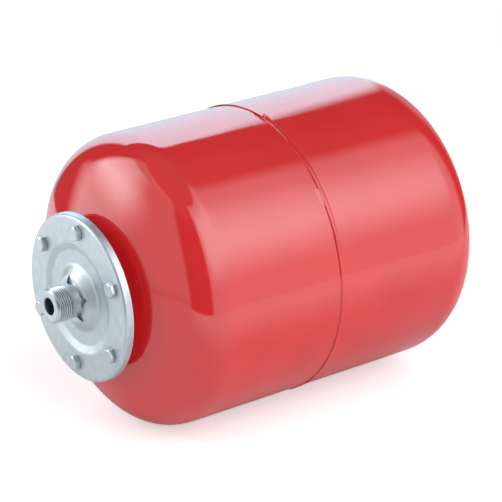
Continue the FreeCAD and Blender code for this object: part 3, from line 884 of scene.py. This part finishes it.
def makeScrew(bm, turn):
    # a chamfered hexagon head with its washer face, and a plain shank, on the tank's axis
    low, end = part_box("flange_bolts")[0].x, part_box("flange_bolts")[1].x
    face, radius, point = plate["face"], screw["radius"], screw["point"]
    depth, floorRadius, rimRadius = screw["dimple"]
    bend = screw["dimpleBend"]
    washerDepth, washerRadius = screw["washer"]
    apothem = screw["across"] / 2
    corner = apothem / cos(pi / 6)
    chamfer = (corner - screw["flatRadius"]) * tan(radians(30))
    foot = face - washerDepth
    head = bmesh.new()
    drawLine(head, [
        (low + depth, 0, 0), (low + depth, floorRadius, bend), (low, rimRadius, bend),
        (low, screw["flatRadius"], 0), (low + chamfer, corner, 0), (foot, corner, 0),
        (foot, washerRadius, 0), (face, washerRadius, 0), (face, radius, 0),
    ], segments=2)
    lathe(head, screw["around"])
    for i in range(6):
        angle = radians(60 * i + 30 + turn)
        across, up = cos(angle), sin(angle)
        cut = bmesh.ops.bisect_plane(head, geom=head.verts[:] + head.edges[:] + head.faces[:],
                                     dist=0.001 * mm, plane_co=(0, apothem * across, apothem * up),
                                     plane_no=(0, across, up), clear_outer=True)
        bmesh.ops.edgenet_fill(head, edges=edgesIn(cut["geom_cut"]))
    bmesh.ops.remove_doubles(head, verts=head.verts, dist=0.01 * mm)
    ringsOn(head, openEdges(head), [(end - point, radius - screw["taper"]), (end, radius - point)])
    bmesh.ops.holes_fill(head, edges=openEdges(head))
    bmesh.ops.recalc_face_normals(head, faces=head.faces)
    crisp = [edge for edge in head.edges if edge.is_manifold and edge.calc_face_angle(0) > radians(24)
             and all(vert.co.x < foot + 0.01 * mm for vert in edge.verts)
             and all(outwards(vert).length > screw["edgesFrom"] for vert in edge.verts)]
    bmesh.ops.bevel(head, geom=crisp, offset=screw["edge"], segments=2, profile=0.5, affect="EDGES",
                    offset_type="OFFSET", material=-1, clamp_overlap=True)
    data = bpy.data.meshes.new("screw")
    head.to_mesh(data)
    head.free()
    bm.from_mesh(data)
    bpy.data.meshes.remove(data)


def makeScrews():
    bm = bmesh.new()
    for i, turn in enumerate(screw["turns"]):
        done = len(bm.verts)
        makeScrew(bm, turn)
        bm.verts.ensure_lookup_table()
        fresh = bm.verts[done:]
        bmesh.ops.translate(bm, verts=fresh, vec=(0, -screw["circle"], 0))
        bmesh.ops.transform(bm, verts=fresh, matrix=screwTurn(i))
    rolled = makeZinc("rolledZinc", screw["roughness"], bumpShare=screw["bumpShare"])
    finishPiece(bm, "flangeScrews", "zinc_plate", ["flange_bolts"], sharp=28, finish=rolled)


# Neck ring

neck = {
    "radius": 57.0 * mm,
    "bore": 48.5 * mm,
    "ring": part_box("neck_ring")[1].z,
    "front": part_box("neck_ring")[0].x,
    "back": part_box("neck_ring")[1].x,
    "ringDepth": 9 * mm,
    "recess": (3 * mm, 59 * mm),    # depth and radius of the seat of the bladder's lip
    "ringBends": (0.8 * mm, 1.2 * mm),
    "rootBend": 1 * mm,
    "endBend": 0.8 * mm,
    "stepBend": 1.5 * mm,
    "around": 240,
}


def makeNeckRing():
    bm = bmesh.new()
    front, back = neck["front"], neck["front"] + neck["ringDepth"]
    seat, recess = front + neck["recess"][0], neck["recess"][1]
    frontBend, backBend = neck["ringBends"]
    drawLine(bm, [
        (front, recess, 0), (front, neck["ring"], frontBend), (back, neck["ring"], backBend),
        (back, neck["radius"], neck["rootBend"]), (neck["back"], neck["radius"], 0),
        (neck["back"], neck["bore"], neck["endBend"]), (seat, neck["bore"], neck["stepBend"]),
        (seat, recess, 0), (front, recess, 0),
    ])
    lathe(bm, neck["around"])
    cutHoles(bm, front - clear, back + clear, screw["radius"])
    finishPiece(bm, "neckRing", "red_paint", ["neck_ring"], sharp=40)


# Spring of the valve core, made at the length of the CAD's spring; the real one shortens as the pin is
# pressed

pinSpring = {
    "wire": 0.13 * mm,
    "middle": 0.81 * mm,       # from the pin's axis to the middle of the wire
    "turns": 7,
    "stepsPerTurn": 40,
    "sides": 10,
    "press": 1.8 * mm,         # as far as the pin is pressed
}


def makePinSpring():
    start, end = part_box("pin_spring")[0].x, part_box("pin_spring")[1].x
    wire, turns = pinSpring["wire"], pinSpring["turns"]
    steps = turns * pinSpring["stepsPerTurn"]
    bm = bmesh.new()
    bmesh.ops.create_circle(bm, segments=pinSpring["sides"], radius=wire)
    bmesh.ops.rotate(bm, verts=bm.verts, cent=(0, 0, 0), matrix=Matrix.Rotation(pi / 2, 3, "X"))
    bmesh.ops.translate(bm, verts=bm.verts, vec=(start + wire, 0, -pinSpring["middle"]))
    bmesh.ops.spin(bm, geom=bm.verts[:] + bm.edges[:], cent=(0, 0, 0), axis=axisX,
                   dvec=((end - start - 2 * wire) / steps, 0, 0), angle=2 * pi * turns, steps=steps,
                   use_merge=False, use_duplicate=False)
    bmesh.ops.holes_fill(bm, edges=openEdges(bm))
    bmesh.ops.recalc_face_normals(bm, faces=bm.faces)
    coil = finishPiece(bm, "pinSpring", "spring_steel", ["pin_spring"], sharp=60)
    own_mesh(coil)


makeFrontShell()
makeRearShell()
makeGirthWeld()
makeNeckRing()
makeFlangePlate()
makeNipple()
makeScrews()
makePinSpring()


# Camera at the photo's angle

camera = {
    "place": (-1.0744, -1.7339, 0.9076),
    "pitch": 22.77,    # looks down by so many degrees
    "turn": -36.95,
    "lens": 175.53,
}


def makeCamera():
    data = bpy.data.cameras.new("camera")
    data.lens = camera["lens"]
    data.sensor_width = 36
    data.clip_end = 50
    item = addObject("camera", data)
    item.location = camera["place"]
    item.rotation_euler = (radians(90 - camera["pitch"]), 0, radians(camera["turn"]))
    bpy.context.scene.camera = item


makeCamera()


# Studio: soft light panels in the world, given by where they stand round the tank.
# Each has its middle azimuth and half width, its low and high elevation, the softness of its
# left and right side and of its low and high end, all in degrees, its strength at its low and
# high end, and its colour.

white = (0.90, 0.99, 1.0)
cool = (0.57, 1.0, 1.16)
panels = [
    {"azimuth": -61, "half": 49, "low": -45, "high": 68, "side": (6, 20), "edge": (10, 4),
     "strength": (1.02, 1.06), "colour": white},
    {"azimuth": -71, "half": 33, "low": 18, "high": 60, "side": (26, 32), "edge": (30, 20),
     "strength": (1.85, 1.95), "colour": white},
    {"azimuth": 132, "half": 16, "low": 9, "high": 49, "side": (10, 26), "edge": (12, 4),
     "strength": (3.8, 1.4), "colour": white},
    {"azimuth": 127, "half": 19, "low": -25, "high": 7, "side": (8, 20), "edge": (12, 10),
     "strength": (1.1, 1.1), "colour": white},
    {"azimuth": 155, "half": 42, "low": -14, "high": 60, "side": (5, 10), "edge": (12, 4),
     "strength": (0.72, 0.68), "colour": white},
    {"azimuth": 65, "half": 20, "low": -30, "high": 37.7, "side": (8, 8), "edge": (3, 2),
     "strength": (0.1, 3.3), "colour": cool},
    {"azimuth": 33, "half": 13, "low": -14, "high": 26, "side": (14, 10), "edge": (12, 16),
     "strength": (0.45, 0.5), "colour": white},
    {"azimuth": 0, "half": 180, "low": 55, "high": 120, "side": (1, 1), "edge": (20, 20),
     "strength": (0.2, 0.2), "colour": white},
]
studioBase = 0.08    # light from everywhere else


def makeWorld():
    world = bpy.data.worlds.new("studio")
    bpy.context.scene.world = world
    world.use_nodes = True
    tree = world.node_tree
    tree.nodes.clear()
    links = tree.links
    coords = tree.nodes.new("ShaderNodeTexCoord")
    split = tree.nodes.new("ShaderNodeSeparateXYZ")
    links.new(coords.outputs["Generated"], split.inputs[0])
    x, y, z = split.outputs
    elevation = calc(tree, "MULTIPLY", calc(tree, "ARCSINE", z), 180 / pi)
    azimuth = calc(tree, "MULTIPLY", calc(tree, "ARCTAN2", y, x), 180 / pi)
    total = None
    for panel in panels:
        turn = calc(tree, "WRAP", calc(tree, "SUBTRACT", azimuth, panel["azimuth"]), 180, -180)
        half, low, high = panel["half"], panel["low"], panel["high"]
        amount = ramp(tree, elevation, low, high, *panel["strength"], kind="LINEAR")
        for value, middle, soft, begins in (
            (turn, -half, panel["side"][0], True), (turn, half, panel["side"][1], False),
            (elevation, low, panel["edge"][0], True), (elevation, high, panel["edge"][1], False),
        ):
            share = ramp(tree, value, middle - soft / 2, middle + soft / 2, *((0, 1) if begins else (1, 0)))
            amount = calc(tree, "MULTIPLY", amount, share)
        join = tree.nodes.new("ShaderNodeVectorMath")
        join.operation = "MULTIPLY_ADD"
        links.new(amount, join.inputs[0])
        join.inputs[1].default_value = panel["colour"]
        if total is None:
            join.inputs[2].default_value = (studioBase,) * 3
        else:
            links.new(total, join.inputs[2])
        total = join.outputs[0]
    light = tree.nodes.new("ShaderNodeBackground")
    links.new(total, light.inputs["Color"])
    backdrop = tree.nodes.new("ShaderNodeBackground")
    backdrop.inputs["Color"].default_value = (1, 1, 1, 1)
    path = tree.nodes.new("ShaderNodeLightPath")
    mix = tree.nodes.new("ShaderNodeMixShader")
    links.new(path.outputs["Is Camera Ray"], mix.inputs[0])
    links.new(light.outputs[0], mix.inputs[1])
    links.new(backdrop.outputs[0], mix.inputs[2])
    output = tree.nodes.new("ShaderNodeOutputWorld")
    links.new(mix.outputs[0], output.inputs["Surface"])


makeWorld()


floor = {
    "radius": 0.9,
    "sides": 96,
    "gap": 0.1 * mm,     # below the tank
    "seen": 0.93,        # colour that the camera sees
    "glow": 0.48,        # even white that the camera sees as well, so that the shadow stays faint
    "mirrored": 0.84,    # colour that other rays meet
    "roughness": 0.9,
    # light of the bright table top for other rays: Y where it starts, Y where it is full, strength
    "tableFront": (-0.2, -0.5, 0.52),
    "tableBehind": (0.08, 0.3, 0.25),
}


def makeFloor():
    low, high = cadBox
    bm = bmesh.new()
    bmesh.ops.create_circle(bm, cap_ends=True, segments=floor["sides"], radius=floor["radius"])
    bmesh.ops.translate(bm, verts=bm.verts, vec=((low[0] + high[0]) / 2, 0, low[2] - floor["gap"]))
    data = bpy.data.meshes.new("floor")
    bm.to_mesh(data)
    bm.free()
    item = addObject("floor", data)
    material, tree, shader = newMaterial("floorWhite")
    seen = tree.nodes.new("ShaderNodeLightPath").outputs["Is Camera Ray"]
    colour = shade(tree, seen, (floor["mirrored"],) * 3, (floor["seen"],) * 3)
    tree.links.new(colour, shader.inputs["Base Color"])
    shader.inputs["Roughness"].default_value = floor["roughness"]
    shader.inputs["Specular IOR Level"].default_value = 0
    shader.inputs["Emission Color"].default_value = (1, 1, 1, 1)
    y = objectXyz(tree)["Y"]
    table = calc(tree, "ADD", *(ramp(tree, y, start, full, 0, strength)
                                for start, full, strength in (floor["tableFront"], floor["tableBehind"])))
    mix = tree.nodes.new("ShaderNodeMix")
    tree.links.new(seen, mix.inputs[0])
    tree.links.new(table, mix.inputs[2])
    mix.inputs[3].default_value = floor["glow"]
    tree.links.new(mix.outputs[0], shader.inputs["Emission Strength"])
    data.materials.append(material)


makeFloor()
bpy.context.scene.view_settings.view_transform = "Standard"
print("studio, floor and camera made")
